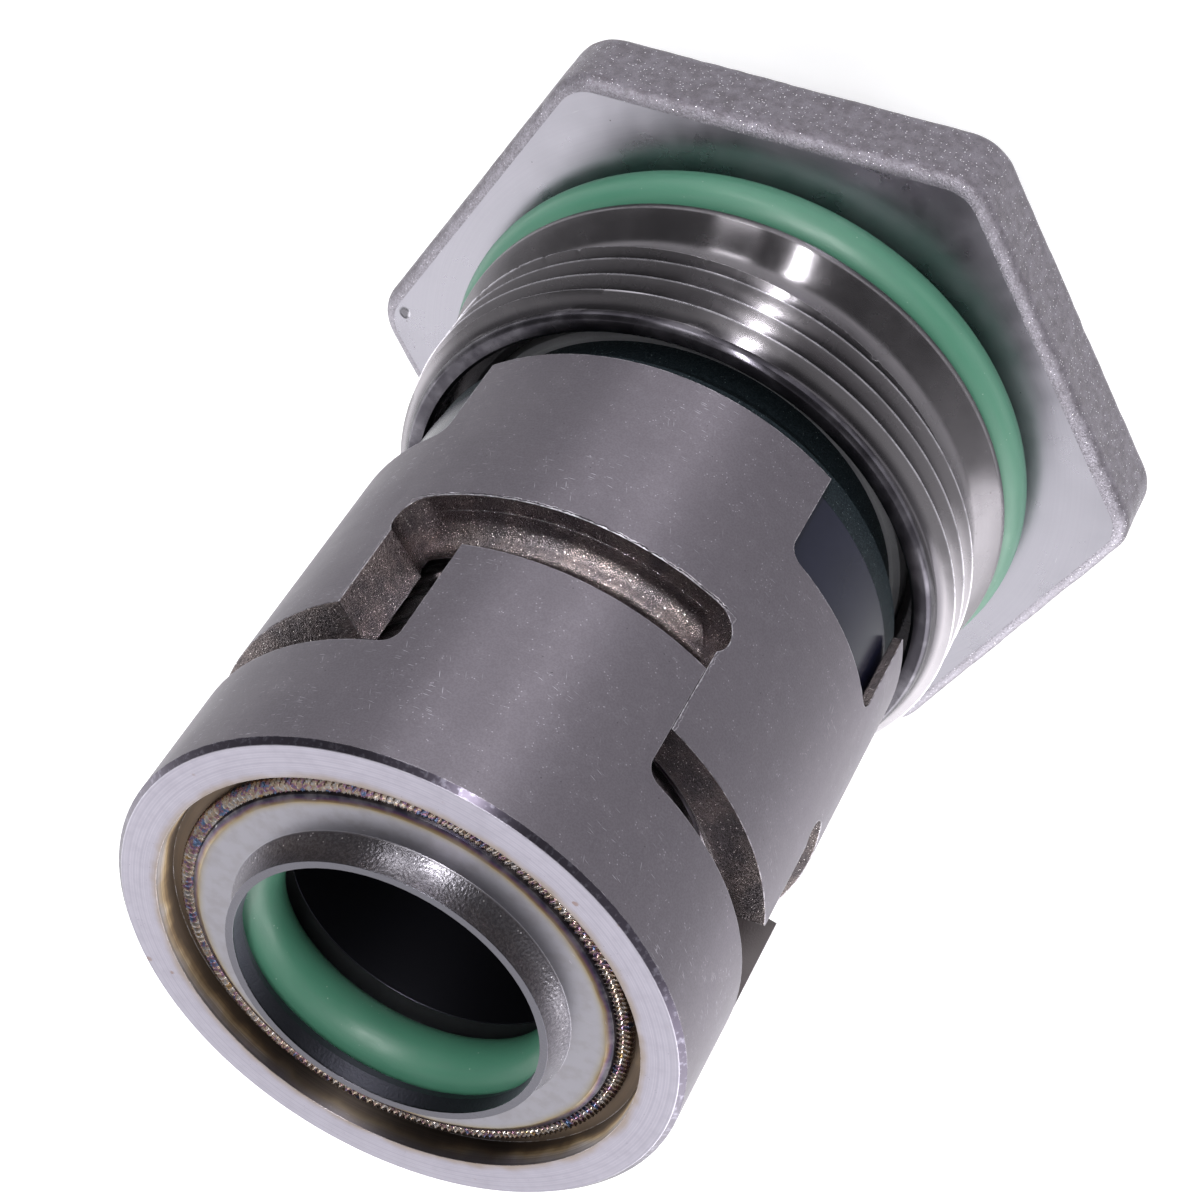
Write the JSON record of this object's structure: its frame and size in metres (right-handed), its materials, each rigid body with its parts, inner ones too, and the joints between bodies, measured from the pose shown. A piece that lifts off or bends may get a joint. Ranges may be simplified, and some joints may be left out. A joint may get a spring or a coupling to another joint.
{
  "type": "cartridge mechanical seal",
  "caption": "Cartridge shaft seal: screw-in hexagonal gland, spring-loaded rotating face, drive cup and sleeve with a clamping collar for a pump shaft.",
  "frame": {"origin": "centre of the foot of the lock ring, bottom centre of the whole part", "axes": "+Z along the shaft axis, from the lock ring to the lip of the sleeve; one hexagon flat faces -Y"},
  "size_m": [0.046, 0.0406, 0.0602],
  "materials": {
    "gland_steel": "machined stainless with a cast skin on the hexagon",
    "turned_steel": "satin turned stainless",
    "sintered_steel": "ground outside, granular cast walls",
    "spring_steel": "smooth drawn wire",
    "weld": "rippled bead with heat tint",
    "green_rubber": "smooth moulded",
    "carbide": "ground and lapped hard face material",
    "screw_steel": "plain stainless"
  },
  "bodies": {
    "gland": {"gland_plate": "gland_steel", "gland_o_ring": "green_rubber", "stationary_seat": "carbide", "seat_o_ring": "green_rubber"},
    "seal_head": {"torque_ring": "sintered_steel", "rotating_seal_ring": "carbide", "seal_ring_o_ring": "green_rubber"},
    "spring_pack": {"thrust_ring": "turned_steel", "spring": "spring_steel"},
    "shaft_unit": {"shaft_sleeve": "turned_steel", "driver_cup": "turned_steel", "weld_seam": "weld", "shaft_o_ring": "green_rubber", "lock_ring": "turned_steel"},
    "screw_a": {"set_screw_1": "screw_steel"},
    "screw_b": {"set_screw_2": "screw_steel"},
    "screw_c": {"set_screw_3": "screw_steel"}
  },
  "joints": [
    {"name": "face_rotation", "type": "hinge", "parent": "gland", "child": "seal_head", "pos_m": [0, 0, 0.0237], "axis": [0, 0, 1], "continuous": true},
    {"name": "drive_play", "type": "hinge", "parent": "seal_head", "child": "spring_pack", "pos_m": [0, 0, 0.0445], "axis": [0, 0, 1], "range_deg": [0, 17.5]},
    {"name": "axial_float", "type": "slide", "parent": "spring_pack", "child": "shaft_unit", "axis": [0, 0, -1], "range_m": [0, 0.0025], "stiffness_N_per_m": 9000, "springref_m": -0.003, "deforming": ["spring"]},
    {"name": "set_screw_1_travel", "type": "slide", "parent": "shaft_unit", "child": "screw_a", "axis": [0.866, 0.5, 0], "range_m": [-0.0004, 0.003]},
    {"name": "set_screw_2_travel", "type": "slide", "parent": "shaft_unit", "child": "screw_b", "axis": [-0.866, 0.5, 0], "range_m": [-0.0004, 0.003]},
    {"name": "set_screw_3_travel", "type": "slide", "parent": "shaft_unit", "child": "screw_c", "axis": [0, -1, 0], "range_m": [-0.0004, 0.003]}
  ]
}
